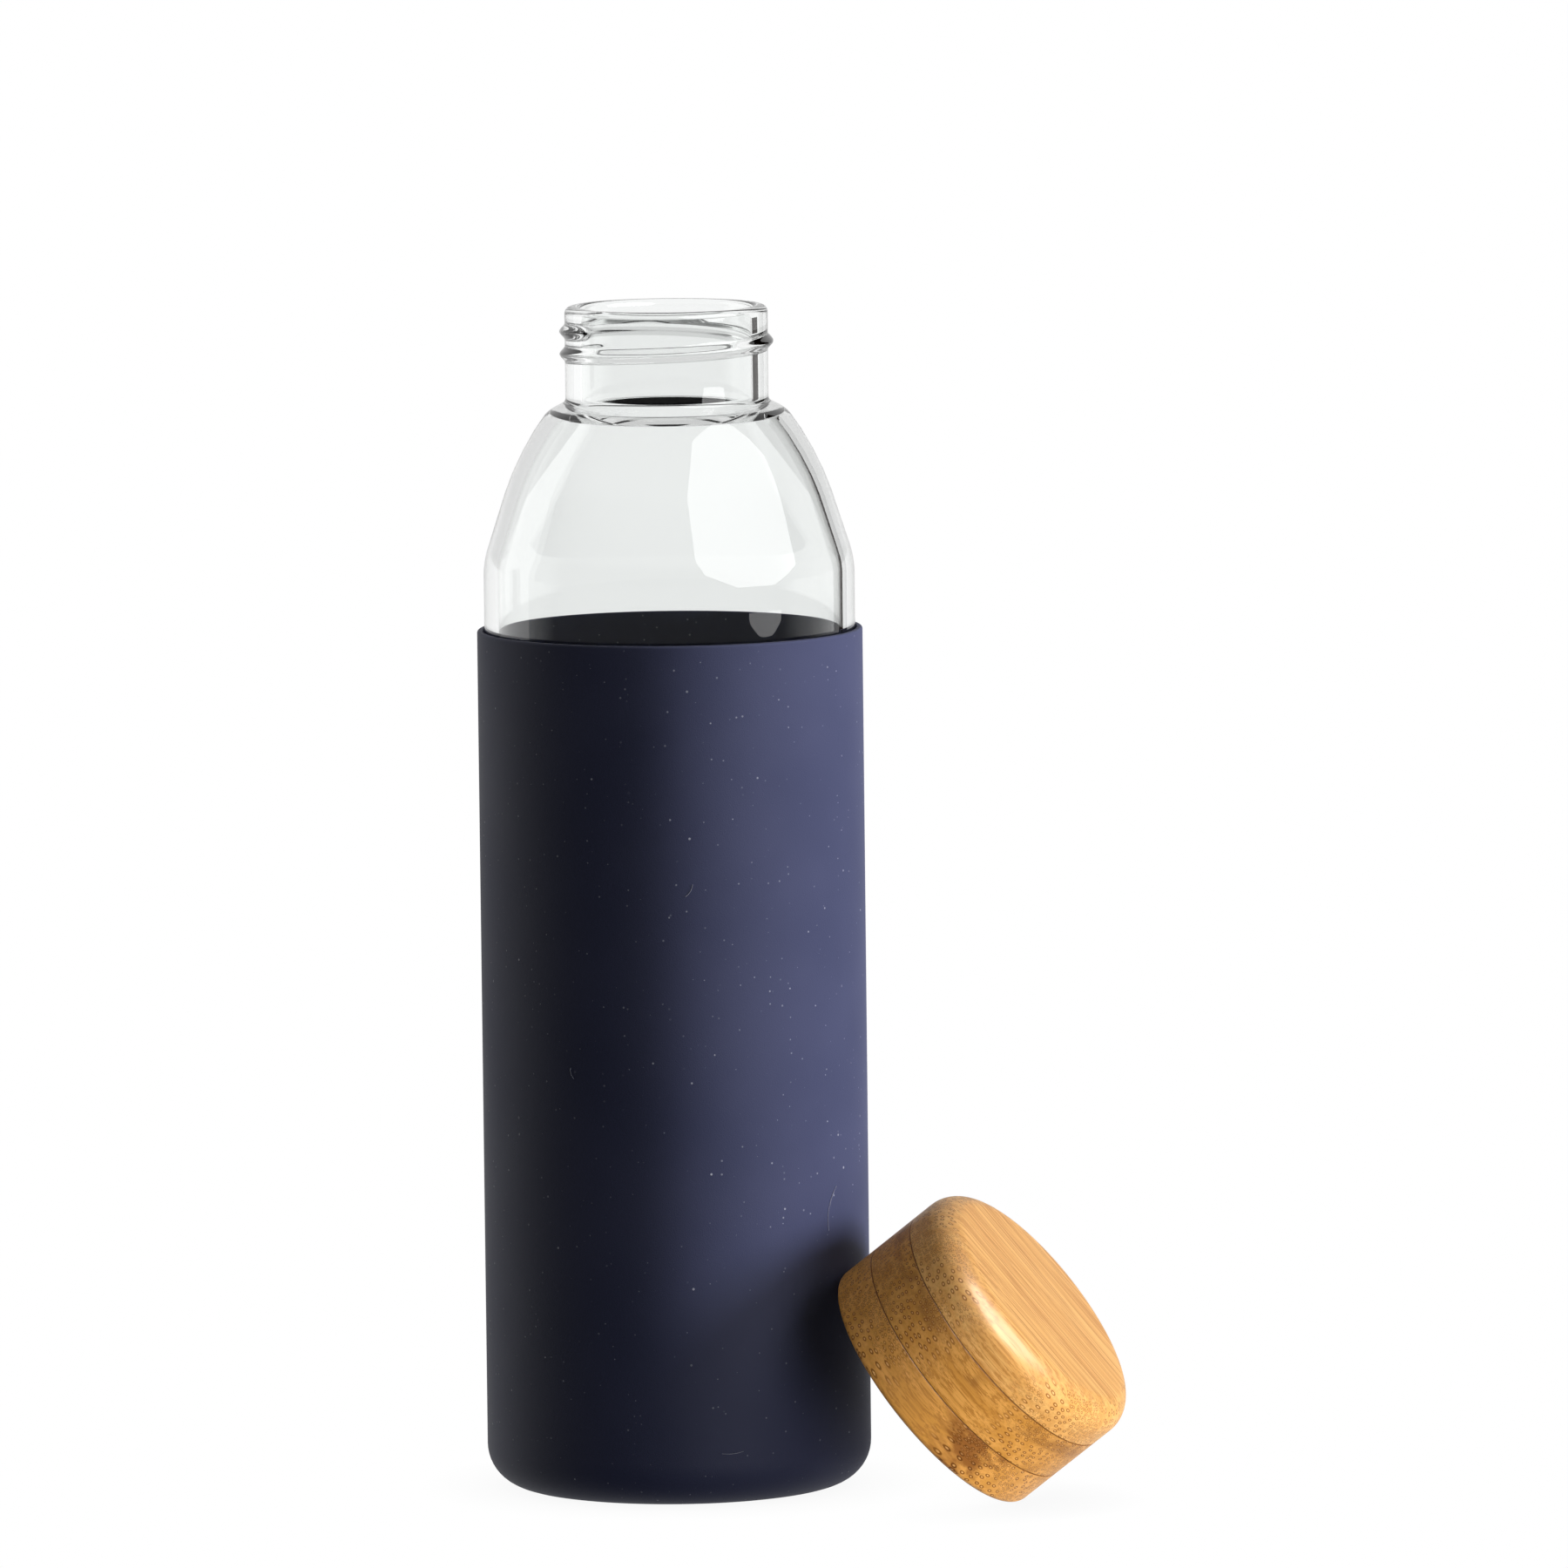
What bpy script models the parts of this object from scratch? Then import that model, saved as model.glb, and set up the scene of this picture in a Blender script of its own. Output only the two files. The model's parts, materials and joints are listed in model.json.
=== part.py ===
# A glass water bottle in a silicone sleeve, with its bamboo screw cap off and leaning against it.
# Metres, +Z up. The origin is the middle of the sleeve's underside, on the floor, and +X points
# to the side where the cap leans.
from math import ceil, cos, pi, radians, sin, tan

import bmesh
import bpy
from mathutils import Matrix, Vector

# Glass body
GLASS_RADIUS = 0.0328
GLASS_HEIGHT = 0.2083
GLASS_WALL = 0.0025
GLASS_FLOOR = 0.0050
FOOT_ROUND = 0.0063
FLOOR_ROUND = 0.0050
PUNT_RADIUS = 0.0200
PUNT_DEPTH = 0.0015
NECK_RADIUS = 0.01795
NECK_WALL = 0.00285
NECK_HEIGHT = 0.0168
NECK_FILLET = 0.0010
RIM_ROUND = 0.0012
LEDGE_WIDTH = 0.0031
LEDGE_DROP = 0.0016
LEDGE_ROUND = 0.0050
BEND_RADIUS = 0.0263
BEND_DROP = 0.0066
BEND_ROUND = 0.0450
SHOULDER_DROP = 0.0200
SHOULDER_ROUND = 0.0150

# Screw thread, the same lead on the neck and in the cap
THREAD_LEAD = 0.0040
THREAD_HEIGHT = 0.00095
THREAD_ROOT = 0.0022
THREAD_TIP = 0.0008
THREAD_TOP = 0.0036
NECK_THREAD_TURNS = 1.36
CAP_THREAD_TURNS = 1.25
THREAD_START = radians(120)
THREAD_RUNOUT = radians(30)
THREAD_SINK = 0.0006

# Silicone sleeve
SLEEVE_HEIGHT = 0.1526
SLEEVE_WALL = 0.0010
SLEEVE_FLOOR = 0.0012
SLEEVE_EDGE = 0.0004

# Bamboo cap, from its open rim up to its flat top
CAP_WALL = 0.0046
BOTTOM_LAYER = 0.0084
MIDDLE_LAYER = 0.0092
TOP_LAYER = 0.0086
CAP_TOP_ROUND = 0.0050
CAP_RIM_ROUND = 0.0012
LINER_WALL = 0.0013
LINER_ROOF = 0.0013
LINER_SETBACK = 0.0006
SEAL_THICKNESS = 0.0012
SEAL_WIDTH = 0.0055

# Fits and places
GAP = 0.0003
GLUE_GAP = 0.0001
LIFT_CLEAR = 0.0036  # how far the lifted glass stands clear of the sleeve's rim
CAP_TILT = radians(51.6)
CAP_FACING = radians(-17.0)
CAP_BEARING = radians(-26.5)

SEGMENTS = 48
ARC_STEP = radians(16)
FILLET_LIMIT = 0.98  # the most of a wall's length that the fillets at its ends may take

glass_foot = SLEEVE_FLOOR + GAP
rim_height = glass_foot + GLASS_HEIGHT
mouth_radius = NECK_RADIUS - NECK_WALL
sleeve_radius = GLASS_RADIUS + GAP + SLEEVE_WALL
liner_bore = NECK_RADIUS + THREAD_HEIGHT + GAP
liner_radius = liner_bore + LINER_WALL
cap_bore = liner_radius + GAP
cap_radius = cap_bore + CAP_WALL
bore_depth = BOTTOM_LAYER + MIDDLE_LAYER
liner_top = bore_depth - GAP
seal_top = liner_top - LINER_ROOF - GAP
seal_face = seal_top - SEAL_THICKNESS
lift_travel = SLEEVE_HEIGHT + LIFT_CLEAR - glass_foot


def clear_scene():
    for found in list(bpy.data.objects):
        bpy.data.objects.remove(found, do_unlink=True)


def new_collection(name):
    made = bpy.data.collections.new(name)
    bpy.context.scene.collection.children.link(made)
    return made


def new_material(name, colour, roughness, metallic=0.0, transmission=0.0):
    made = bpy.data.materials.new(name)
    made.use_nodes = True
    shader = made.node_tree.nodes["Principled BSDF"]
    shader.inputs["Base Color"].default_value = (*colour, 1.0)
    shader.inputs["Roughness"].default_value = roughness
    shader.inputs["Metallic"].default_value = metallic
    shader.inputs["Transmission Weight"].default_value = transmission
    return made


def fillet_reaches(corners):
    # how far each fillet reaches along its walls; two that overlap on a short wall shrink together
    places = [Vector(corner[:2]) for corner in corners]
    walls = [after - before for before, after in zip(places, places[1:])]
    reaches = [0.0]
    for before, after, corner in zip(walls, walls[1:], corners[1:]):
        reaches.append(corner[2] * tan(before.angle(after) / 2))
    reaches.append(0.0)
    shares = [1.0] * len(corners)
    for i, wall in enumerate(walls):
        wanted = reaches[i] + reaches[i + 1]
        if wanted > FILLET_LIMIT * wall.length:
            share = FILLET_LIMIT * wall.length / wanted
            shares[i] = min(shares[i], share)
            shares[i + 1] = min(shares[i + 1], share)
    return [reach * share for reach, share in zip(reaches, shares)]


def rounded(corners):
    # each corner is (radius from the axis, height, rounding); the outline's two ends stay sharp
    reaches = fillet_reaches(corners)
    points = [Vector(corners[0][:2])]
    for i in range(1, len(corners) - 1):
        middle = Vector(corners[i][:2])
        inward = (Vector(corners[i - 1][:2]) - middle).normalized()
        outward = (Vector(corners[i + 1][:2]) - middle).normalized()
        half = inward.angle(outward) / 2
        if reaches[i] == 0 or half > radians(89):
            points.append(middle)
            continue
        centre = middle + (inward + outward).normalized() * reaches[i] / cos(half)
        first = middle + inward * reaches[i] - centre
        sweep = pi - 2 * half
        if first.cross(inward) > 0:
            sweep = -sweep
        steps = max(2, ceil(abs(sweep) / ARC_STEP))
        for step in range(steps + 1):
            points.append(centre + Matrix.Rotation(sweep * step / steps, 2) @ first)
    points.append(Vector(corners[-1][:2]))
    return points


def turned(name, corners, material, collection, closed):
    # a closed outline makes a ring, and an open one starts and ends on the axis
    points = rounded(corners + corners[:2])[1:-1] if closed else rounded(corners)
    mesh = bpy.data.meshes.new(name)
    edges = [(i, i + 1) for i in range(len(points) - 1)]
    if closed:
        edges.append((len(points) - 1, 0))
    mesh.from_pydata([(p.x, 0, p.y) for p in points], edges, [])
    made = bpy.data.objects.new(name, mesh)
    collection.objects.link(made)
    mesh.materials.append(material)
    screw = made.modifiers.new("Turn", "SCREW")
    screw.steps = SEGMENTS
    screw.render_steps = SEGMENTS
    screw.use_merge_vertices = True
    screw.merge_threshold = 0.00001
    screw.use_smooth_shade = True
    return made


def offset_corner(corner, before, after, wall_before, wall_after):
    # where the two walls that meet at a corner of the outer outline cross on their inner side
    lines = []
    for start, end, wall in ((before, corner, wall_before), (corner, after, wall_after)):
        along = (Vector(end[:2]) - Vector(start[:2])).normalized()
        side = Vector((along.y, -along.x))
        lines.append((Vector(end[:2]) + side * wall, along))
    (a, u), (b, v) = lines
    return a + u * (b - a).cross(v) / u.cross(v)


def glass_outline():
    # one outline from the middle of the floor inside, up and over the rim, down to the foot
    neck_base = rim_height - NECK_HEIGHT
    ledge_radius = NECK_RADIUS + LEDGE_WIDTH
    ledge = neck_base - LEDGE_DROP
    outer = [
        (NECK_RADIUS, rim_height, RIM_ROUND),
        (NECK_RADIUS, neck_base, NECK_FILLET),
        (ledge_radius, ledge, LEDGE_ROUND),
        (BEND_RADIUS, ledge - BEND_DROP, BEND_ROUND),
        (GLASS_RADIUS, ledge - BEND_DROP - SHOULDER_DROP, SHOULDER_ROUND),
        (GLASS_RADIUS, glass_foot, FOOT_ROUND),
    ]
    walls = [NECK_WALL] + [GLASS_WALL] * 4
    inner = []
    for i in range(1, 5):
        point = offset_corner(outer[i], outer[i - 1], outer[i + 1], walls[i - 1], walls[i])
        turn = GLASS_WALL if i == 1 else -GLASS_WALL
        inner.append((point.x, point.y, outer[i][2] + turn))
    foot = [(PUNT_RADIUS, glass_foot, 0), (0, glass_foot + PUNT_DEPTH, 0)]
    floor = glass_foot + GLASS_FLOOR
    well = [(0, floor, 0), (GLASS_RADIUS - GLASS_WALL, floor, FLOOR_ROUND)]
    return well + inner[::-1] + [(mouth_radius, rim_height, RIM_ROUND)] + outer + foot


def thread_ridge(name, root_radius, outward, turns, start, low, collection):
    # a helical ridge on a cylinder, sunk into its wall, which fades out at both ends
    steps = round(SEGMENTS * turns)
    sink = -outward * THREAD_SINK
    mesh = bpy.data.meshes.new(name)
    shape = bmesh.new()
    rings = []
    for i in range(steps + 1):
        turn = 2 * pi * turns * i / steps
        ends = min(turn, 2 * pi * turns - turn) / THREAD_RUNOUT
        height = max(0.1, min(1.0, ends)) * THREAD_HEIGHT * outward
        middle = low + THREAD_LEAD * turn / (2 * pi)
        section = [
            (root_radius + sink, middle - THREAD_ROOT / 2),
            (root_radius, middle - THREAD_ROOT / 2),
            (root_radius + height, middle - THREAD_TIP / 2),
            (root_radius + height, middle + THREAD_TIP / 2),
            (root_radius, middle + THREAD_ROOT / 2),
            (root_radius + sink, middle + THREAD_ROOT / 2),
        ]
        angle = start + turn
        rings.append([shape.verts.new((r * cos(angle), r * sin(angle), z)) for r, z in section])
    for first, second in zip(rings, rings[1:]):
        for i in range(len(first)):
            j = (i + 1) % len(first)
            shape.faces.new((first[i], first[j], second[j], second[i]))
    shape.faces.new(rings[0])
    shape.faces.new(rings[-1])
    bmesh.ops.recalc_face_normals(shape, faces=shape.faces)
    shape.to_mesh(mesh)
    shape.free()
    made = bpy.data.objects.new(name, mesh)
    made.hide_render = True
    made.display_type = "WIRE"
    collection.objects.link(made)
    return made


def join_ridge(piece, ridge):
    union = piece.modifiers.new("Thread", "BOOLEAN")
    union.operation = "UNION"
    union.solver = "EXACT"
    union.object = ridge


def lean_turn():
    return Matrix.Rotation(CAP_FACING, 3, "Z") @ Matrix.Rotation(CAP_TILT, 3, "Y")


def leaning_place():
    # the cap's rounded open rim rests on the floor and comes within a gap of the sleeve
    turn = lean_turn()
    ring = cap_radius - CAP_RIM_ROUND
    rim = []
    for i in range(720):
        angle = pi * i / 360
        rim.append(turn @ Vector((ring * cos(angle), ring * sin(angle), CAP_RIM_ROUND)))
    height = CAP_RIM_ROUND - min(point.z for point in rim)
    bearing = Vector((cos(CAP_BEARING), sin(CAP_BEARING)))
    reach = sleeve_radius + GAP + CAP_RIM_ROUND
    near, far = 0.0, 2 * (reach + cap_radius)
    for _ in range(50):
        distance = (near + far) / 2
        if min((point.xy + bearing * distance).length for point in rim) < reach:
            near = distance
        else:
            far = distance
    return Vector((*(bearing * far), height))


def carry_turn(spin):
    # turns the leaning cap upright, with its own front then facing the angle spin
    upright = Matrix.Rotation(spin, 3, "Z") @ lean_turn().transposed()
    turn = upright.to_quaternion()
    return turn if turn.w >= 0 else -turn


def carry_motion():
    # one hinge that takes the leaning cap to its seat on the neck of the lifted glass
    start = leaning_place()
    seat = Vector((0, 0, rim_height + lift_travel + GAP - seal_face))
    chord = seat - start
    low, high = CAP_FACING - radians(60), CAP_FACING + radians(60)
    rising = carry_turn(high).axis.dot(chord) > 0
    for _ in range(60):
        spin = (low + high) / 2
        if (carry_turn(spin).axis.dot(chord) > 0) == rising:
            high = spin
        else:
            low = spin
    turn = carry_turn(spin)
    pivot = (start + seat) / 2 + turn.axis.cross(chord) / (2 * tan(turn.angle / 2))
    return pivot, turn.axis, turn.angle, spin


def make_glass(collection, helpers, material):
    glass = turned("glass_bottle", glass_outline(), material, collection, False)
    low = rim_height - THREAD_TOP - THREAD_LEAD * NECK_THREAD_TURNS
    ridge = thread_ridge(
        "neck_thread", NECK_RADIUS, 1, NECK_THREAD_TURNS, THREAD_START, low, helpers
    )
    join_ridge(glass, ridge)
    return glass


def make_sleeve(collection, material):
    inside = GLASS_RADIUS + GAP
    corners = [
        (0, SLEEVE_FLOOR, 0),
        (inside, SLEEVE_FLOOR, FOOT_ROUND + GAP),
        (inside, SLEEVE_HEIGHT, 0),
        (sleeve_radius, SLEEVE_HEIGHT, SLEEVE_EDGE),
        (sleeve_radius, 0, FOOT_ROUND + GAP + SLEEVE_WALL),
        (0, 0, 0),
    ]
    return turned("silicone_sleeve", corners, material, collection, False)


def make_ring_layer(name, low, high, edge, material, collection):
    corners = [
        (cap_radius, high, 0),
        (cap_radius, low, edge),
        (cap_bore, low, 0),
        (cap_bore, high, 0),
    ]
    return turned(name, corners, material, collection, True)


def make_top_layer(material, collection):
    low = bore_depth + GLUE_GAP
    high = bore_depth + TOP_LAYER
    corners = [(0, high, 0), (cap_radius, high, CAP_TOP_ROUND), (cap_radius, low, 0), (0, low, 0)]
    return turned("cap_top_layer", corners, material, collection, False)


def make_liner(spin, collection, helpers, material):
    roof = liner_top - LINER_ROOF
    corners = [
        (0, liner_top, 0),
        (liner_radius, liner_top, GAP),
        (liner_radius, LINER_SETBACK, 0),
        (liner_bore, LINER_SETBACK, 0),
        (liner_bore, roof, 0),
        (0, roof, 0),
    ]
    liner = turned("cap_liner", corners, material, collection, False)
    # the cap's thread lies half a lead below the neck's when the cap is seated
    seat = rim_height + GAP - seal_face
    low = rim_height - THREAD_TOP - THREAD_LEAD * (NECK_THREAD_TURNS + 0.5) - seat
    ridge = thread_ridge(
        "cap_thread", liner_bore, -1, CAP_THREAD_TURNS, THREAD_START - spin, low, helpers
    )
    join_ridge(liner, ridge)
    return liner, ridge


def make_seal(material, collection):
    outside = liner_bore - GAP
    corners = [
        (outside, seal_top, 0),
        (outside, seal_face, 0),
        (outside - SEAL_WIDTH, seal_face, 0),
        (outside - SEAL_WIDTH, seal_top, 0),
    ]
    return turned("cap_seal", corners, material, collection, True)


def new_empty(name, place, turn, collection):
    made = bpy.data.objects.new(name, None)
    made.empty_display_size = 0.01
    made.matrix_world = Matrix.Translation(place) @ turn.to_4x4()
    collection.objects.link(made)
    return made


def build():
    clear_scene()
    bottle = new_collection("glass_water_bottle")
    helpers = new_collection("thread_helpers")
    glass = new_material("clear_glass", (0.92, 0.95, 0.94), 0.03, transmission=1.0)
    silicone = new_material("navy_silicone", (0.022, 0.027, 0.075), 0.62)
    honey = new_material("bamboo_top", (0.78, 0.50, 0.24), 0.45)
    caramel = new_material("bamboo_middle", (0.50, 0.27, 0.09), 0.5)
    toffee = new_material("bamboo_bottom", (0.46, 0.24, 0.08), 0.5)
    plastic = new_material("liner_plastic", (0.80, 0.78, 0.72), 0.4)
    rubber = new_material("seal_silicone", (0.75, 0.75, 0.73), 0.55)

    pivot, axis, angle, spin = carry_motion()
    make_glass(bottle, helpers, glass)
    make_sleeve(bottle, silicone)
    pieces = [
        make_ring_layer("cap_bottom_layer", 0, BOTTOM_LAYER, CAP_RIM_ROUND, toffee, bottle),
        make_ring_layer("cap_middle_layer", BOTTOM_LAYER + GLUE_GAP, bore_depth, 0, caramel, bottle),
        make_top_layer(honey, bottle),
        make_seal(rubber, bottle),
        *make_liner(spin, bottle, helpers, plastic),
    ]
    along = Vector((0, 0, 1)).rotation_difference(axis).to_matrix()
    hinge = new_empty("carry_axis", pivot, along, bottle)
    cap_axis = new_empty("cap_axis", leaning_place(), lean_turn(), bottle)
    bpy.context.view_layer.update()
    cap_axis.parent = hinge
    cap_axis.matrix_parent_inverse = hinge.matrix_world.inverted()
    for piece in pieces:
        piece.parent = cap_axis
    print("lift travel", lift_travel)
    print("carry axis", tuple(pivot), tuple(axis), "angle", angle, "spin", spin)


build()
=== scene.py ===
import json
from math import acos, atan2, ceil, cos, pi, radians, sin, tan

import bmesh
import bpy
from mathutils import Matrix, Vector


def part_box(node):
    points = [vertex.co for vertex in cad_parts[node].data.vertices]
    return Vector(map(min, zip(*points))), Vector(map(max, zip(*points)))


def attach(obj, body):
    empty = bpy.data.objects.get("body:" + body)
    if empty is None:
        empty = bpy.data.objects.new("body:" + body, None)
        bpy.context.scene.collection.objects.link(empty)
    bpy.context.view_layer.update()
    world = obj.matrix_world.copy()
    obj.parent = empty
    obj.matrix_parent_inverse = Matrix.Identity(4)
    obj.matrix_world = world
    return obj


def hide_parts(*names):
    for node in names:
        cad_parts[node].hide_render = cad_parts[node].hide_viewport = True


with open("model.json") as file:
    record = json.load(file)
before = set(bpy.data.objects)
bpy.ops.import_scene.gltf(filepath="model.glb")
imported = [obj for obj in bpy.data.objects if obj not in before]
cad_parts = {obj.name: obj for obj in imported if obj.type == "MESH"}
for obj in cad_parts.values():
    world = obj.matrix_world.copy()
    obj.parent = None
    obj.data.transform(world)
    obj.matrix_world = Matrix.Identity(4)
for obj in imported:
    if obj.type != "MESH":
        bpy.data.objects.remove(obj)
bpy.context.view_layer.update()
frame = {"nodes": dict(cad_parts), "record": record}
scene = bpy.context.scene
print("frame loaded:", len(frame["nodes"]), "nodes")


class Value:
    # a shader socket that can be added, multiplied and so on like a number
    def __init__(self, tree, socket):
        self.tree = tree
        self.socket = socket

    def maths(self, operation, *terms):
        node = self.tree.nodes.new("ShaderNodeMath")
        node.operation = operation
        for slot, term in zip(node.inputs, terms):
            feed(self.tree, slot, term)
        return Value(self.tree, node.outputs[0])

    def __add__(self, other):
        return self.maths("ADD", self, other)

    def __sub__(self, other):
        return self.maths("SUBTRACT", self, other)

    def __mul__(self, other):
        return self.maths("MULTIPLY", self, other)

    def __truediv__(self, other):
        return self.maths("DIVIDE", self, other)

    def __rsub__(self, other):
        return self.maths("SUBTRACT", other, self)

    def __abs__(self):
        return self.maths("ABSOLUTE", self)

    __radd__ = __add__
    __rmul__ = __mul__


def feed(tree, slot, term):
    if isinstance(term, Value):
        tree.links.new(term.socket, slot)
    else:
        slot.default_value = term


class Wires:
    # a node tree, and one way to add any node to it
    def __init__(self, tree):
        self.tree = tree

    def node(self, kind, settings=None, feeds=None, out=0):
        made = self.tree.nodes.new("ShaderNode" + kind)
        for key, value in (settings or {}).items():
            setattr(made, key, value)
        for key, term in (feeds or {}).items():
            feed(self.tree, made.inputs[key], term)
        return Value(self.tree, made.outputs[out]) if len(made.outputs) else None

    def span(self, value, low, high, start=0.0, end=1.0, ease="SMOOTHSTEP"):
        # a step from start to end as the value goes from low to high
        ends = {"From Min": low, "From Max": high, "To Min": start, "To Max": end}
        return self.node("MapRange", {"interpolation_type": ease}, {"Value": value, **ends})

    def mix(self, share, first, second):
        return self.node("Mix", {"data_type": "RGBA"}, {0: share, 6: first, 7: second}, out=2)

    def split(self, vector):
        return [self.node("SeparateXYZ", None, {0: vector}, out=axis) for axis in range(3)]

    def point(self, x, y, z):
        return self.node("CombineXYZ", None, {0: x, 1: y, 2: z})

    def noise(self, where, scale, detail=2.0, roughness=0.5):
        feeds = {"Vector": where, "Scale": scale, "Detail": detail, "Roughness": roughness}
        return self.node("TexNoise", None, feeds)

    def bump(self, height, strength, distance):
        return self.node("Bump", None, {"Height": height, "Strength": strength, "Distance": distance})


class Finish(Wires):
    # one material and its shader
    def __init__(self, name, **shaderValues):
        self.material = bpy.data.materials.new(name)
        self.material.use_nodes = True
        super().__init__(self.material.node_tree)
        self.give(**shaderValues)

    def give(self, **sockets):
        shader = self.tree.nodes["Principled BSDF"]
        for name, term in sockets.items():
            feed(self.tree, shader.inputs[name.replace("_", " ")], term)

    def place(self):
        # object coordinates, in metres
        return self.node("TexCoord", out="Object")


def linked(name, mesh):
    made = bpy.data.objects.new(name, mesh)
    scene.collection.objects.link(made)
    return made


def meshOf(shape, name):
    mesh = bpy.data.meshes.new(name)
    shape.to_mesh(mesh)
    shape.free()
    return mesh


def outline(corners, bevelStep=7):
    # half a section, from (radius, height, rounding) corners; bevelStep is in degrees
    shape = bmesh.new()
    verts = [shape.verts.new((radius, 0, height)) for radius, height, rounding in corners]
    for first, second in zip(verts, verts[1:]):
        shape.edges.new((first, second))
    if corners[0][0] > 0 and corners[-1][0] > 0:  # a ring closes, a disc ends on its axis
        shape.edges.new((verts[-1], verts[0]))
    for i, (radius, height, rounding) in enumerate(corners):
        if not rounding:
            continue
        here = Vector((radius, height))
        before = Vector(corners[i - 1][:2]) - here
        after = Vector(corners[(i + 1) % len(corners)][:2]) - here
        half = before.angle(after) / 2
        bmesh.ops.bevel(
            shape,
            geom=[verts[i]],
            offset=rounding / tan(half),
            offset_type="OFFSET",
            segments=max(3, ceil((pi - 2 * half) / radians(bevelStep))),
            profile=0.5,
            affect="VERTICES",
            material=-1,
        )
    return shape


def steadyWalls(shape, least, margin):
    # a point close to each end of a long wall keeps the shading of the wall between them flat
    for edge in list(shape.edges):
        low, high = sorted(vert.co.z for vert in edge.verts)
        if high - low < least:
            continue
        split = bmesh.ops.subdivide_edges(shape, edges=[edge], cuts=2)
        added = [item for item in split["geom_inner"] if isinstance(item, bmesh.types.BMVert)]
        added.sort(key=lambda vert: vert.co.z)
        added[0].co.z = low + margin
        added[1].co.z = high - margin


def splitRows(shape, radius, low, high, rows):
    # rows of points up one straight wall of the outline, where the thread will be raised
    sameWall = 0.00002
    for edge in list(shape.edges):
        ends = sorted(vert.co.z for vert in edge.verts)
        onWall = all(abs(vert.co.x - radius) < sameWall for vert in edge.verts)
        if onWall and ends[0] < low and ends[1] > high:
            bmesh.ops.subdivide_edges(shape, edges=[edge], cuts=rows)
            wall = [v for v in shape.verts if abs(v.co.x - radius) < sameWall]
            wall = sorted((v for v in wall if ends[0] < v.co.z < ends[1]), key=lambda v: v.co.z)
            for i, vert in enumerate(wall):
                vert.co.z = low + (high - low) * i / (len(wall) - 1)


def spinShape(shape, turns):
    bmesh.ops.spin(
        shape,
        geom=list(shape.verts) + list(shape.edges),
        cent=(0, 0, 0),
        axis=(0, 0, 1),
        angle=2 * pi,
        steps=turns,
        use_merge=True,
    )
    bmesh.ops.remove_doubles(shape, verts=shape.verts, dist=0.000002)
    bmesh.ops.recalc_face_normals(shape, faces=shape.faces)


def finishShape(shape, name, finish, body, node, place=None):
    # place moves a shape made about its own axis to where it belongs
    if place is not None:
        shape.transform(place)
    mesh = meshOf(shape, name)
    mesh.shade_smooth()
    mesh.set_sharp_from_angle(angle=radians(50))
    mesh.materials.append(finish.material)
    made = linked(name, mesh)
    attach(made, body)
    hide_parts(node)
    return made


def nodeSpan(node, toLocal):
    # outer radius, lowest and highest point of a CAD node about a local axis
    points = [toLocal @ vertex.co for vertex in frame["nodes"][node].data.vertices]
    heights = [point.z for point in points]
    return max(point.xy.length for point in points), min(heights), max(heights)


cameraSet = {"aimX": 0.0199, "aimZ": 0.1246, "away": 3.0, "above": 8.4, "roll": 0.645, "lens": 386.9}


def makeCamera(s):
    data = bpy.data.cameras.new("camera")
    data.lens = s["lens"]
    data.sensor_width = 36
    data.clip_end = 100
    made = linked("camera", data)
    above = radians(s["above"])
    aim = Vector((s["aimX"], 0, s["aimZ"]))
    spot = Vector((aim.x, -s["away"] * cos(above), s["away"] * sin(above)))
    look = (aim - spot).to_track_quat("-Z", "Y").to_matrix().to_4x4()
    roll = Matrix.Rotation(-radians(s["roll"]), 4, "Z")
    made.matrix_world = Matrix.Translation(spot) @ look @ roll
    scene.camera = made


makeCamera(cameraSet)
print("camera placed")

glassSet = {
    "neckRadius": 0.01795,
    "neckWall": 0.00285,
    "neckHeight": 0.0168,
    "neckRound": 0.0010,
    "ledgeWidth": 0.0031,
    "ledgeDrop": 0.0016,
    "ledgeRound": 0.0050,
    "bendRadius": 0.0263,
    "bendDrop": 0.0066,
    "bendRound": 0.0450,
    "shoulderDrop": 0.0200,
    "shoulderRound": 0.0150,
    "wall": 0.0025,
    "floor": 0.0050,
    "wellRound": 0.0050,
    "footRound": 0.0063,
    "puntRadius": 0.0200,
    "puntRound": 0.0020,
    "puntDepth": 0.0015,
    "rimRound": 0.0012,
    "turns": 256,
    "threadRows": 72,
    "threadZone": (0.0018, 0.0122),  # below the rim
    "threadTop": 0.0036,
    "threadTurns": 1.36,
    "threadShown": 1.29,  # the last part of the upper end has faded out
    "threadStart": radians(120),
}
threadSet = {"lead": 0.0040, "height": 0.00095, "width": 0.0031, "fade": radians(26)}


def offsetCorner(corner, before, after, wallBefore, wallAfter):
    # where the two walls that meet at an outer corner cross on their inner side
    lines = []
    for start, end, wall in ((before, corner, wallBefore), (corner, after, wallAfter)):
        along = (Vector(end[:2]) - Vector(start[:2])).normalized()
        lines.append((Vector(end[:2]) + Vector((along.y, -along.x)) * wall, along))
    (a, u), (b, v) = lines
    return a + u * (b - a).cross(v) / u.cross(v)


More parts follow.
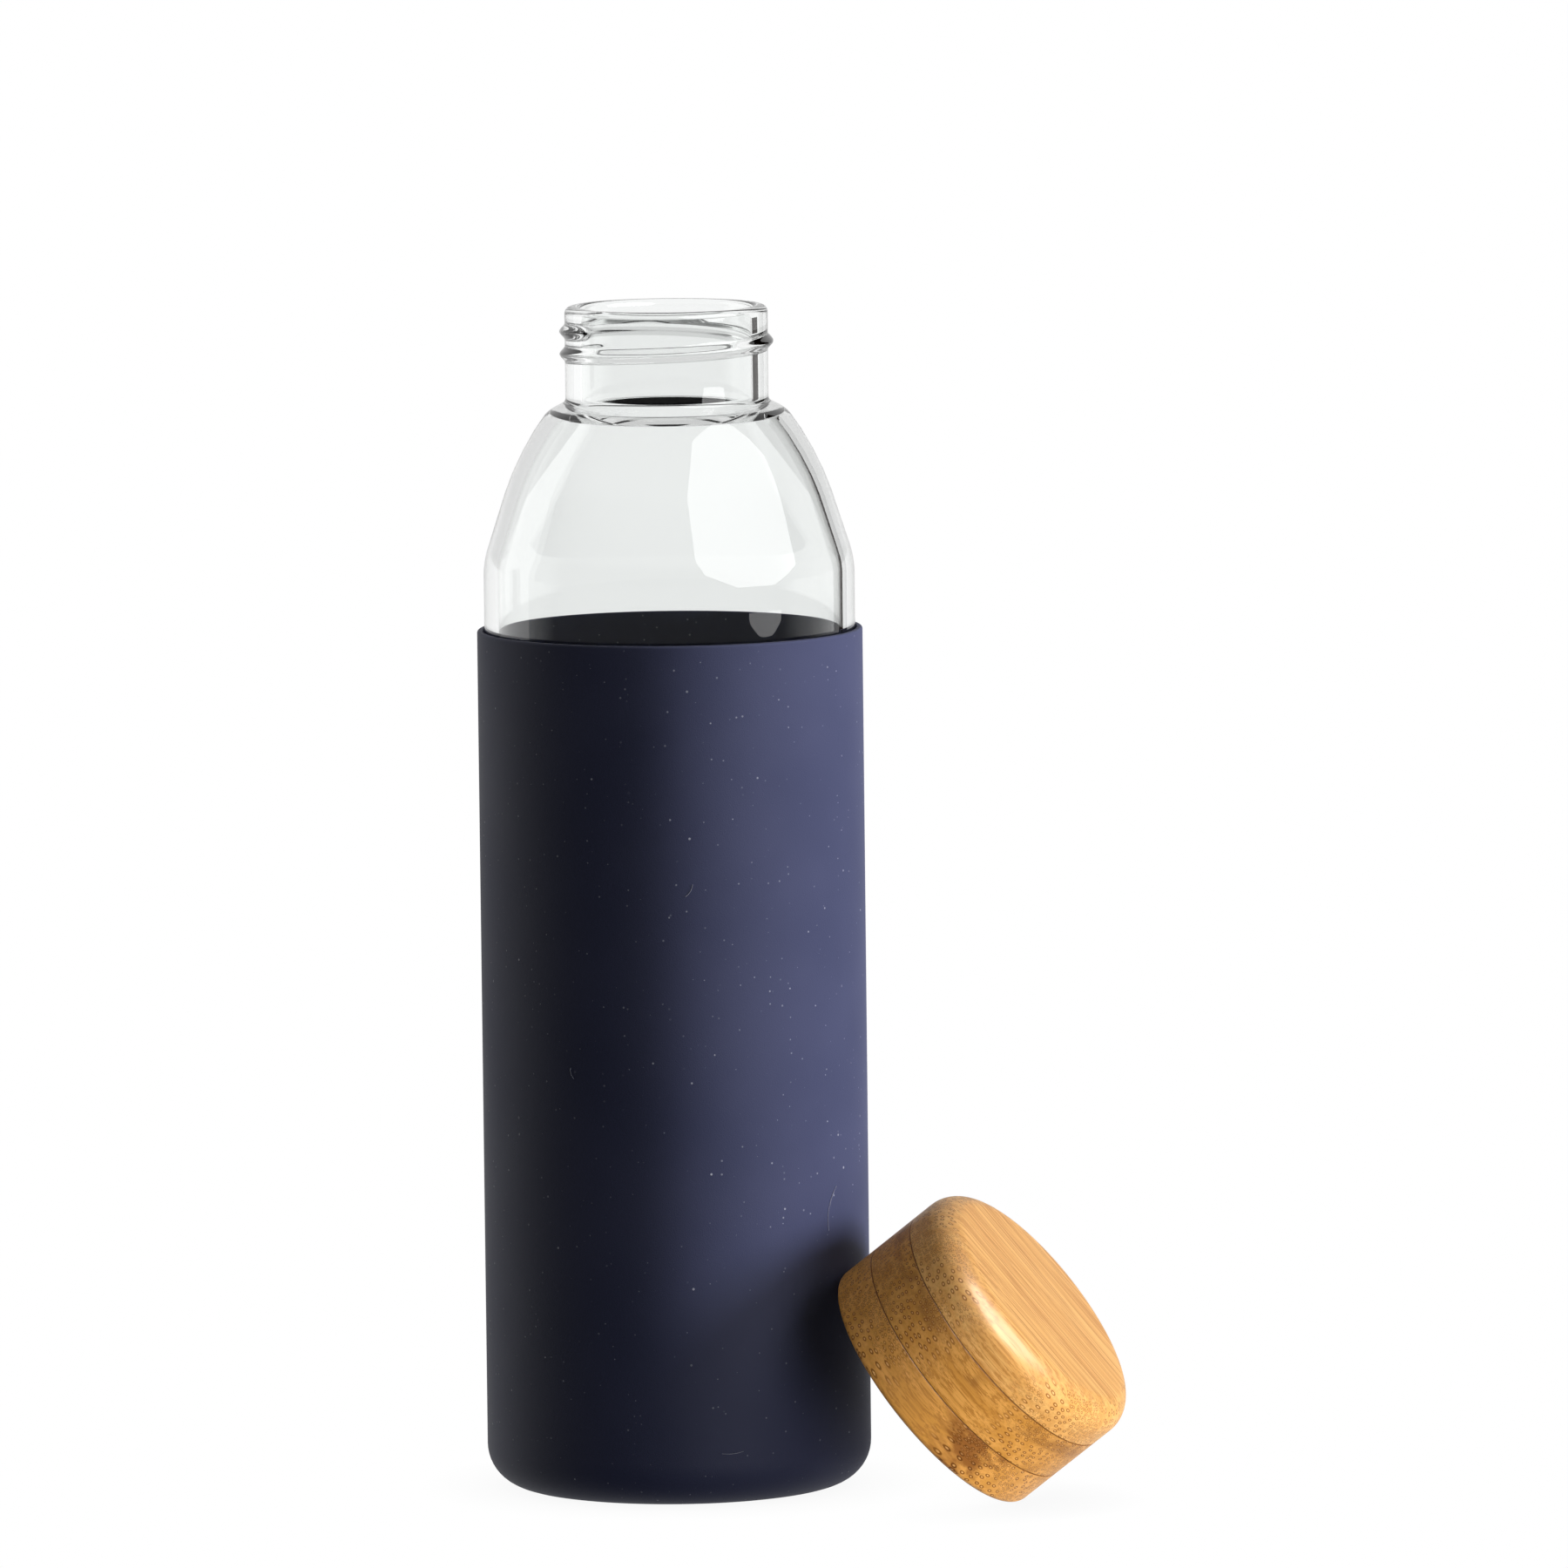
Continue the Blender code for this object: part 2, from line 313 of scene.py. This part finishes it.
def glassCorners(s, radius, foot, rim):
    base = rim - s["neckHeight"]
    ledge = base - s["ledgeDrop"]
    bend = ledge - s["bendDrop"]
    outer = [
        (s["neckRadius"], rim, s["rimRound"]),
        (s["neckRadius"], base, s["neckRound"]),
        (s["neckRadius"] + s["ledgeWidth"], ledge, s["ledgeRound"]),
        (s["bendRadius"], bend, s["bendRound"]),
        (radius, bend - s["shoulderDrop"], s["shoulderRound"]),
        (radius, foot, s["footRound"]),
    ]
    walls = [s["neckWall"]] + [s["wall"]] * 4
    inner = []
    for i in range(1, 5):
        spot = offsetCorner(outer[i], outer[i - 1], outer[i + 1], walls[i - 1], walls[i])
        inner.append((spot.x, spot.y, outer[i][2] + (s["wall"] if i == 1 else -s["wall"])))
    floor = foot + s["floor"]
    well = [(0, floor, 0), (radius - s["wall"], floor, s["wellRound"])]
    top = [(s["neckRadius"] - s["neckWall"], rim, s["rimRound"])]
    under = [(s["puntRadius"], foot, s["puntRound"]), (0, foot + s["puntDepth"], 0)]
    return well + inner[::-1] + top + outer + under


def raiseThread(shape, radius, zoneTop, outward, low, start, turns):
    # moves the wall out (or in, with outward -1) along a helix, so the thread is one with it
    s = threadSet
    for vert in shape.verts:
        reach = vert.co.xy.length
        if abs(reach - radius) > 0.00005 or vert.co.z > zoneTop:
            continue
        angle = (atan2(vert.co.y, vert.co.x) - start) % (2 * pi)
        rise = 0.0
        while angle < 2 * pi * turns:
            away = abs(vert.co.z - low - s["lead"] * angle / (2 * pi)) / (s["width"] / 2)
            fade = min(1.0, min(angle, 2 * pi * turns - angle) / s["fade"])
            if away < 1:
                crest = 0.5 + 0.5 * cos(pi * away)
                rise = max(rise, crest * (0.5 - 0.5 * cos(pi * fade)))
            angle += 2 * pi
        if rise:
            vert.co.xy *= (radius + outward * rise * s["height"]) / reach


def makeGlass(s, finish):
    low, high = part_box("glass_bottle")
    radius, foot, rim = high.x, low.z, high.z
    shape = outline(glassCorners(s, radius, foot, rim), bevelStep=6)
    zoneTop, zoneFoot = (rim - depth for depth in s["threadZone"])
    splitRows(shape, s["neckRadius"], zoneFoot, zoneTop, s["threadRows"])
    steadyWalls(shape, 0.05, 0.0005)
    spinShape(shape, s["turns"])
    start = rim - s["threadTop"] - threadSet["lead"] * s["threadTurns"]
    thread = (start, s["threadStart"], s["threadShown"])
    raiseThread(shape, s["neckRadius"], zoneTop, 1, *thread)
    return finishShape(shape, "glass_body", finish, "glass", "glass_bottle")


def clearGlass():
    return Finish(
        "clear_glass_look",
        Base_Color=(0.955, 0.968, 0.962, 1),
        Roughness=0.0,
        IOR=1.5,
        Transmission_Weight=1.0,
    )


makeGlass(glassSet, clearGlass())
print("glass body done")

sleeveSet = {
    "wall": 0.0010,
    "floor": 0.0012,
    "gap": 0.0003,  # to the glass
    "innerLip": 0.00018,
    "outerLip": 0.00042,
    "turns": 192,
    "navy": ((0.027, 0.031, 0.068, 1), (0.034, 0.038, 0.079, 1)),
    "dust": ((820, 0.42, 0.15, 0.42), (300, 0.70, 0.060, 0.85)),  # scale, rarity, size, lightness
    "dustColour": (0.46, 0.47, 0.54, 1),
}
lintSet = {
    "thick": 0.00004,
    "steps": 14,
    "fibres": (  # angle, height, length, slope and curl
        (52, 0.0475, 0.0085, 100, -60),
        (13, 0.0098, 0.0040, -8, 25),
        (4, 0.1085, 0.0026, 35, 50),
        (-31, 0.0760, 0.0022, 140, -70),
        (158, 0.0620, 0.0060, 70, 80),
        (-118, 0.1240, 0.0045, 20, -90),
    ),
}


def makeSleeve(s, finish):
    low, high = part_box("silicone_sleeve")
    outside, top = high.x, high.z
    inside = outside - s["wall"]
    corner = glassSet["footRound"] + s["gap"]
    corners = [
        (0, s["floor"], 0),
        (inside, s["floor"], corner),
        (inside, top, s["innerLip"]),
        (outside, top, s["outerLip"]),
        (outside, low.z, corner + s["wall"]),
        (0, low.z, 0),
    ]
    shape = outline(corners)
    steadyWalls(shape, 0.05, 0.0005)
    spinShape(shape, s["turns"])
    return finishShape(shape, "sleeve_skin", finish, "sleeve", "silicone_sleeve")


def navySilicone(s):
    finish = Finish("navy_silicone_look", Specular_IOR_Level=0.22)
    where = finish.place()
    cloud = finish.noise(where, 38, 3.0)
    colour = finish.mix(finish.span(cloud, 0.3, 0.7), *s["navy"])
    for scale, rarity, size, lightness in s["dust"]:
        # dust: a small pale speck in some cells of a fine grid
        feeds = {"Vector": where, "Scale": scale}
        away = finish.node("TexVoronoi", None, feeds)
        pick, grow, glint = finish.split(finish.node("TexVoronoi", None, feeds, out="Color"))
        speck = 1 - finish.span(away, grow * size, grow * size + 0.03)
        dust = speck * finish.span(pick, rarity, rarity + 0.1) * glint * lightness
        colour = finish.mix(dust, colour, s["dustColour"])
    grain = finish.noise(where, 5200, 2.0)
    finish.give(
        Base_Color=colour,
        Roughness=finish.span(cloud, 0.2, 0.8, 0.56, 0.64),
        Normal=finish.bump(grain, 0.12, 0.0002),
    )
    return finish


def makeLint(s, finish):
    # a few stray fibres on the silicone, each a short curl that follows the wall
    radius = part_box("silicone_sleeve")[1].x + s["thick"]
    curve = bpy.data.curves.new("lint", "CURVE")
    curve.dimensions = "3D"
    curve.bevel_depth = s["thick"]
    curve.bevel_resolution = 1
    for angle, height, length, slope, curl in s["fibres"]:
        spline = curve.splines.new("POLY")
        spline.points.add(s["steps"])
        side, up, heading = radians(angle) * radius, height, radians(slope)
        for point in spline.points:
            turn = side / radius
            point.co = (radius * sin(turn), -radius * cos(turn), up, 1)
            side += cos(heading) * length / s["steps"]
            up += sin(heading) * length / s["steps"]
            heading += radians(curl) / s["steps"]
    loose = linked("lint_curve", curve)
    mesh = bpy.data.meshes.new_from_object(loose)
    bpy.data.objects.remove(loose)
    made = linked("sleeve_lint", mesh)
    mesh.materials.clear()
    mesh.materials.append(finish.material)
    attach(made, "sleeve")
    return made


def lintFibre():
    finish = Finish("lint_look", Roughness=0.8)
    cloud = finish.noise(finish.place(), 900, 2.0)
    finish.give(Base_Color=finish.mix(cloud, (0.10, 0.11, 0.17, 1), (0.42, 0.42, 0.48, 1)))
    return finish


bottlePieces = [makeSleeve(sleeveSet, navySilicone(sleeveSet)), makeLint(lintSet, lintFibre())]
print("sleeve done")

# the cap's own axis is that of its joint: height 0 is its open rim
capJoint = next(j for j in frame["record"]["behaviour"]["joints"] if j["name"] == "cap_turn")
capAlong = Vector(capJoint["axis"])
capTurn = Matrix.Rotation(atan2(capAlong.y, capAlong.x), 4, "Z") @ Matrix.Rotation(
    acos(capAlong.z), 4, "Y"
)
capPlace = Matrix.Translation(Vector(capJoint["pos_m"])) @ capTurn
capLocal = capPlace.inverted()
capSet = {
    "topRound": 0.0050,
    "rimRound": 0.0012,
    "glueRound": 0.00012,
    "boreRound": 0.0003,
    "bore": 0.02095,
    "inset": 0.00006,
    "turns": 160,
}


def makeLayer(name, node, topRound, lowRound, hollow, look):
    # one bamboo board: the top one is a disc, the two below it are rings
    s = capSet
    radius, low, high = nodeSpan(node, capLocal)
    radius -= s["inset"]
    corners = [(radius, high, topRound), (radius, low, lowRound)]
    if hollow:
        corners += [(s["bore"], low, s["boreRound"]), (s["bore"], high, 0)]
    else:
        corners = [(0, high, 0)] + corners + [(0, low, 0)]
    shape = outline(corners)
    steadyWalls(shape, 0.003, 0.0003)
    spinShape(shape, s["turns"])
    return finishShape(shape, name, bamboo(name + "_look", look), "cap", node, capPlace)


# what the three boards share, in mm of wood and shares of full strength
woodSet = {
    "sway": 3.0,  # how far the fibres wander
    "swayAlong": 0.020,
    "swayAcross": 0.09,
    "coarsePore": (0.09, 0.15, 0.22, 0.31),  # where a pore's dark wall starts and ends
    "finePore": (0.13, 0.20, 0.32, 0.44),
    "fineShare": 0.75,
    "poreOrder": 0.62,
    "poreDark": 0.92,
    "coreLight": 0.55,
    "streakAlong": 0.014,
    "streakAcross": 1.9,
    "streakDark": 0.95,
    "glueReach": (0.03, 0.15),
    "glueDark": 0.75,
    "skinReach": (0.7, 2.0),
    "skinDark": 0.6,
    "fleckLight": 0.75,
}


def bamboo(name, look):
    # solid bamboo: fibres run along g, so their ends show as pores and their sides as streaks
    s = woodSet
    finish = Finish(name, Specular_IOR_Level=0.12, Coat_Weight=0.14, Coat_Roughness=0.20)
    grainTurn = Matrix.Rotation(radians(look["turn"]), 4, "Z")
    turn = grainTurn @ capLocal
    feeds = {
        "Vector": finish.place(),
        "Location": tuple(turn.translation * 1000),
        "Rotation": tuple(turn.to_euler()),
        "Scale": (1000, 1000, 1000),
    }
    place = finish.node("Mapping", {"vector_type": "POINT"}, feeds)
    g, v, w = finish.split(place)
    level, seed = w, look["seed"]

    # the fibres wander a little from side to side and up and down
    slow = (g * s["swayAlong"], v * s["swayAcross"])
    height = w * s["swayAcross"] + seed
    v = v + (finish.noise(finish.point(*slow, height), 1, 1.0) - 0.5) * s["sway"]
    slow = (g * s["swayAlong"], v * s["swayAcross"])
    w = w + (finish.noise(finish.point(*slow, height + 7.3), 1, 1.0) - 0.5) * s["sway"]
    section = finish.point(v + seed, w, 0.0)
    broad = finish.noise(section, 0.13, 2.0)
    fine = finish.span(broad, 0.44, 0.56)

    # pores show only where the surface lies across the fibres
    along = (capTurn @ grainTurn.inverted()).to_3x3() @ Vector((1, 0, 0))
    feeds = {0: finish.node("TexCoord", out="Normal"), 1: tuple(along)}
    facing = abs(finish.node("VectorMath", {"operation": "DOT_PRODUCT"}, feeds, out="Value"))
    across = finish.span(facing, 0.10, 0.42)
    dark, core = 0.0, 0.0
    for scale, share, (a, b, c, d) in (
        (look["coarse"], 1 - fine, s["coarsePore"]),
        (look["fine"], fine * s["fineShare"], s["finePore"]),
    ):
        feeds = {"Vector": section, "Scale": scale, "Randomness": s["poreOrder"]}
        ring = finish.node("TexVoronoi", {"voronoi_dimensions": "2D"}, feeds)
        edge = finish.span(ring, a, b) * (1 - finish.span(ring, c, d))
        dark = dark + edge * share * across
        core = core + (1 - finish.span(ring, 0.5 * a, 1.1 * b)) * share * across

    # streaks along the fibres, over wide bands of paler and richer wood
    thin = (g * s["streakAlong"], v * s["streakAcross"], w * s["streakAcross"])
    streak = finish.noise(finish.point(*thin), 1.0, 4.0, 0.80)
    wide = finish.noise(finish.point(g * 0.010, v * 0.5, w * 0.5), 1.0, 2.0)
    pale, rich, line, ringColour, coreColour = look["colours"]
    colour = finish.mix(finish.span(wide, 0.35, 0.65), rich, pale)
    lines = finish.span(streak, 0.45, 0.60) * (s["streakDark"] - 0.60 * across)
    colour = finish.mix(lines, colour, line)

    tone = 0.0
    if look["stain"]:
        # a darker patch round one spot of the board, in the cap's millimetres
        x, y, z, reach = look["stain"]
        spot = grainTurn.to_3x3() @ Vector((x, y, z))
        feeds = {0: place, 1: tuple(spot)}
        away = finish.node("VectorMath", {"operation": "DISTANCE"}, feeds, out="Value")
        wear = (finish.noise(section, 0.40, 3.0) - 0.5) * 2.4
        ragged = away / reach + wear + (streak - 0.5) * 0.8
        tone = 1 - finish.span(ragged, 0.30, 0.95)
        colour = finish.mix(tone * 0.85, colour, look["stainColour"])
    if look["skin"]:
        # next to the skin of the culm the wood is brown, with short pale flecks
        inBand = 1 - finish.span(abs(level - look["skin"]), *s["skinReach"])
        worn = finish.span(finish.noise(place, 0.16, 2.0), 0.42, 0.60)
        flecks = finish.point(g * 0.55, v * 0.9, level * 1.1)
        fleck = finish.node("TexVoronoi", None, {"Vector": flecks, "Scale": 1.0})
        colour = finish.mix(inBand * worn * s["skinDark"], colour, look["skinColour"])
        fleck = (1 - finish.span(fleck, 0.12, 0.26)) * inBand * worn
        colour = finish.mix(fleck * s["fleckLight"], colour, pale)
    for joint in look["joints"]:
        # glue darkens the wood next to a joint
        seam = 1 - finish.span(abs(level - joint), *s["glueReach"])
        colour = finish.mix(seam * s["glueDark"], colour, ringColour)
    colour = finish.mix(dark * s["poreDark"], colour, ringColour)
    if look["stain"]:
        colour = finish.mix(dark * tone * 0.8, colour, look["poreColour"])
    colour = finish.mix(core * (s["coreLight"] - 0.3 * tone), colour, coreColour)
    finish.give(
        Base_Color=colour,
        Roughness=finish.span(streak, 0.3, 0.7, 0.36, 0.48),
        Normal=finish.bump(0.7 * core + 0.25 * streak - 0.6 * dark, 0.30, 0.00012),
    )
    return finish


# each board: grain turn in degrees, joint heights in mm, pores per mm, and its five colours
# (pale wood, rich wood, streak, pore wall, pore core)
# the top board's colours are paler than those of the two boards below it, partly the wood's own tone
# and partly painted light for its top face being lit more than the sides
topLook = {
    "turn": -10,
    "seed": 3.1,
    "joints": (17.65,),
    "coarse": 0.85,
    "fine": 1.75,
    "stain": None,
    "skin": None,
    "colours": (
        (0.76, 0.42, 0.135, 1),
        (0.68, 0.345, 0.095, 1),
        (0.46, 0.195, 0.044, 1),
        (0.27, 0.092, 0.014, 1),
        (0.84, 0.53, 0.23, 1),
    ),
}
middleLook = {
    "turn": -14,
    "seed": 11.7,
    "joints": (17.55, 8.5),
    "coarse": 0.95,
    "fine": 1.75,
    "stain": None,
    "skin": 15.6,
    "skinColour": (0.25, 0.10, 0.022, 1),
    "colours": (
        (0.66, 0.32, 0.074, 1),
        (0.54, 0.245, 0.046, 1),
        (0.38, 0.155, 0.026, 1),
        (0.20, 0.068, 0.010, 1),
        (0.72, 0.42, 0.16, 1),
    ),
}
bottomLook = {
    "turn": -6,
    "seed": 23.9,
    "joints": (8.4,),
    "coarse": 0.80,
    "fine": 1.65,
    "stain": (13.6, -21.2, 6.4, 8.0),
    "stainColour": (0.22, 0.075, 0.016, 1),
    "poreColour": (0.10, 0.032, 0.008, 1),
    "skin": None,
    "colours": (
        (0.69, 0.33, 0.078, 1),
        (0.58, 0.27, 0.054, 1),
        (0.42, 0.18, 0.038, 1),
        (0.20, 0.068, 0.010, 1),
        (0.76, 0.46, 0.18, 1),
    ),
}
glue = capSet["glueRound"]
capPieces = [
    makeLayer("bamboo_top", "cap_top_layer", capSet["topRound"], glue, False, topLook),
    makeLayer("bamboo_middle", "cap_middle_layer", glue, glue, True, middleLook),
    makeLayer("bamboo_bottom", "cap_bottom_layer", glue, capSet["rimRound"], True, bottomLook),
]
print("bamboo layers done")

linerSet = {
    "bore": 0.0192,
    "roof": 0.0013,
    "round": 0.0003,
    "smallRound": 0.0002,
    "turns": 160,
    "rows": 64,
    "threadZone": (0.0012, 0.0122),
    "threadLow": 0.00316,
    "threadStart": 2.3652,  # radians
    "threadTurns": 1.25,
}
sealSet = {"width": 0.0055, "round": 0.0003, "turns": 128}


def linerPlastic():
    finish = Finish("liner_plastic_look", Specular_IOR_Level=0.5)
    where = finish.place()
    cloud = finish.noise(where, 220, 3.0)
    finish.give(
        Base_Color=finish.mix(cloud, (0.78, 0.75, 0.67, 1), (0.84, 0.81, 0.74, 1)),
        Roughness=finish.span(cloud, 0.3, 0.7, 0.34, 0.46),
        Normal=finish.bump(finish.noise(where, 3000, 2.0), 0.08, 0.0002),
    )
    return finish


def sealSilicone():
    finish = Finish("seal_silicone_look", Roughness=0.5)
    cloud = finish.noise(finish.place(), 300, 3.0)
    finish.give(Base_Color=finish.mix(cloud, (0.70, 0.70, 0.68, 1), (0.80, 0.80, 0.78, 1)))
    return finish


def makeLiner(s, finish):
    # a plastic cup pressed into the boards, with the thread on its inner wall
    radius, low, high = nodeSpan("cap_liner", capLocal)
    roof = high - s["roof"]
    corners = [
        (0, high, 0),
        (radius, high, s["round"]),
        (radius, low, s["smallRound"]),
        (s["bore"], low, s["round"]),
        (s["bore"], roof, s["smallRound"]),
        (0, roof, 0),
    ]
    shape = outline(corners, bevelStep=9)
    splitRows(shape, s["bore"], *s["threadZone"], s["rows"])
    spinShape(shape, s["turns"])
    thread = (s["threadLow"], s["threadStart"], s["threadTurns"])
    raiseThread(shape, s["bore"], s["threadZone"][1], -1, *thread)
    return finishShape(shape, "thread_liner", finish, "cap", "cap_liner", capPlace)


def makeSeal(s, finish):
    radius, low, high = nodeSpan("cap_seal", capLocal)
    inner = radius - s["width"]
    ring = ((radius, high), (radius, low), (inner, low), (inner, high))
    shape = outline([(*corner, s["round"]) for corner in ring], bevelStep=15)
    spinShape(shape, s["turns"])
    return finishShape(shape, "seal_ring", finish, "seal", "cap_seal", capPlace)


capPieces += [makeLiner(linerSet, linerPlastic()), makeSeal(sealSet, sealSilicone())]
print("liner and seal done")

# side is in degrees from the camera's direction towards +X, lift in degrees above the middle
studioSet = {
    "key": {"side": 82, "lift": 12, "away": 1.0, "size": 0.32, "power": 21.0},
    "sleeveFill": {"side": 42, "lift": -14, "away": 1.0, "size": 0.50, "power": 3.2},
    "capKey": {"side": 78, "lift": 20, "away": 1.0, "size": 0.40, "power": 6.6},
    "capFill": {"side": 45, "lift": -25, "away": 1.0, "size": 0.60, "power": 11.0},
    "capFront": {"side": -25, "lift": 10, "away": 1.0, "size": 0.70, "power": 2.6},
    "capGlint": {"side": 50, "lift": 33, "away": 1.0, "size": 1.10, "power": 95.0},
    "window": {"side": 55, "lift": 30.5, "away": 1.0, "across": 1.25, "high": 1.18, "glow": 4.1},
    "lamp": {"side": 61.6, "lift": -3.3, "away": 1.0, "across": 0.40, "high": 0.0058, "glow": 2.8},
    "wall": {"side": -113, "lift": 8, "away": 1.0, "across": 0.60, "high": 1.7, "glow": 1.15},
    "flag": {"side": 137.5, "lift": 8, "away": 1.5, "across": 0.38, "high": 1.6, "glow": 0.02},
    "flagColour": (0.9, 0.6, 0.45),
    "frontLight": 0.045,
    "backLight": 0.95,
    "topLight": 0.8,
    "middle": Vector((0, 0, 0.12)),
    "floorSize": 30,
    "floorDrop": 0.0002,
    "contactReach": 0.014,
    "contactShade": 0.93,
}


def around(place):
    side, lift = radians(place["side"]), radians(place["lift"])
    level = Vector((sin(side) * cos(lift), -cos(side) * cos(lift), sin(lift)))
    return level * place["away"] + studioSet["middle"]


def glowing(name, strengthOf, colour=(1, 1, 1)):
    # a material that gives light and nothing else; strengthOf works out how much
    material = bpy.data.materials.new(name)
    material.use_nodes = True
    wires = Wires(material.node_tree)
    wires.tree.nodes.clear()
    light = wires.node("Emission", None, {"Color": (*colour, 1), "Strength": strengthOf(wires)})
    wires.node("OutputMaterial", None, {"Surface": light})
    return material


def makeCard(name, place, sides, colour=(1, 1, 1), refracted=True):
    # a flat panel that faces the object: only reflections and refractions show it
    spot = around(place)
    shape = bmesh.new()
    bmesh.ops.create_circle(shape, cap_ends=True, segments=sides, radius=0.5 / cos(pi / sides))
    shape.transform(Matrix.Rotation(pi / sides, 4, "Z"))
    shape.transform(Matrix.Diagonal((place["across"], place["high"], 1, 1)))
    aim = studioSet["middle"] - spot
    shape.transform(Matrix.Translation(spot) @ aim.to_track_quat("Z", "Y").to_matrix().to_4x4())
    mesh = meshOf(shape, name)
    mesh.materials.append(glowing(name + "_glow", lambda wires: place["glow"], colour))
    made = linked(name, mesh)
    made.visible_camera = False
    made.visible_diffuse = False
    made.visible_shadow = False
    made.visible_transmission = refracted


def makeLamp(name, place, lit, mirrored=False):
    # a soft light on some pieces, either on their diffuse surface or mirrored in their polish
    data = bpy.data.lights.new(name, "AREA")
    data.shape = "DISK"
    data.size = place["size"]
    data.energy = place["power"]
    made = linked(name, data)
    made.location = around(place)
    aim = made.location - studioSet["middle"]
    made.rotation_euler = aim.to_track_quat("Z", "Y").to_euler()
    made.visible_camera = False
    made.visible_diffuse = not mirrored
    made.visible_glossy = mirrored
    made.visible_transmission = False
    group = bpy.data.collections.new(name + "_pieces")
    for piece in lit:
        group.objects.link(piece)
    made.light_linking.receiver_collection = group


def makeWorld(s):
    # a pale backdrop behind the object and above it, and a dim room on the camera's side
    world = bpy.data.worlds.new("studio")
    scene.world = world
    world.use_nodes = True
    wires = Wires(world.node_tree)
    wires.tree.nodes.clear()
    x, y, z = wires.split(wires.node("TexCoord", out="Generated"))
    room = wires.span(y, -0.05, 0.50, s["frontLight"], s["backLight"])
    above = wires.span(z, 0.25, 0.65, 0.0, s["topLight"])
    mirrored = room.maths("MAXIMUM", room, above)
    diffuse = wires.node("LightPath", out="Is Diffuse Ray")
    direct = wires.node("LightPath", out="Is Camera Ray")
    strength = direct + (1 - direct) * (diffuse * room + (1 - diffuse) * mirrored)
    backdrop = wires.node("Background", None, {"Strength": strength})
    wires.node("OutputWorld", None, {"Surface": backdrop})


def floorLight(wires):
    # white to the eye, darker next to the object as a painted contact shadow, and dim where the glass
    # shows its front as painted shade
    s = studioSet
    x, y, z = wires.split(wires.node("TexCoord", out="Object"))
    # painted shade: seen through the glass, the floor's glow dims towards the front
    dim = wires.span(y, -0.30, 0.10, 0.25, 1.0, "LINEAR")
    reach = {"Distance": s["contactReach"]}
    # painted contact shadow: the floor's glow darkens where ambient occlusion finds the object close
    clear = wires.node("AmbientOcclusion", {"samples": 8}, reach, out="AO")
    glowWithPaintedShadow = wires.span(clear, 0.0, 1.0, s["contactShade"], 1.0, "LINEAR")
    direct = wires.node("LightPath", out="Is Camera Ray")
    return direct * glowWithPaintedShadow + (1 - direct) * dim


def makeFloor(s):
    shape = bmesh.new()
    bmesh.ops.create_grid(shape, x_segments=1, y_segments=1, size=s["floorSize"])
    shape.transform(Matrix.Translation((0, 0, -s["floorDrop"])))
    mesh = meshOf(shape, "floor")
    mesh.materials.append(glowing("floor_white", floorLight))
    made = linked("floor", mesh)
    made.visible_diffuse = False
    made.visible_glossy = False
    made.visible_shadow = False


makeLamp("key", studioSet["key"], bottlePieces)
makeLamp("sleeve_fill", studioSet["sleeveFill"], bottlePieces)
makeLamp("cap_key", studioSet["capKey"], capPieces)
makeLamp("cap_fill", studioSet["capFill"], capPieces)
makeLamp("cap_front", studioSet["capFront"], capPieces)
makeLamp("cap_glint", studioSet["capGlint"], capPieces, mirrored=True)
makeCard("window_card", studioSet["window"], 8, refracted=False)
makeCard("lamp_card", studioSet["lamp"], 8, refracted=False)
makeCard("wall_card", studioSet["wall"], 4)
makeCard("flag_card", studioSet["flag"], 4, studioSet["flagColour"])
makeWorld(studioSet)
makeFloor(studioSet)
scene.view_settings.view_transform = "Standard"
print("studio done")
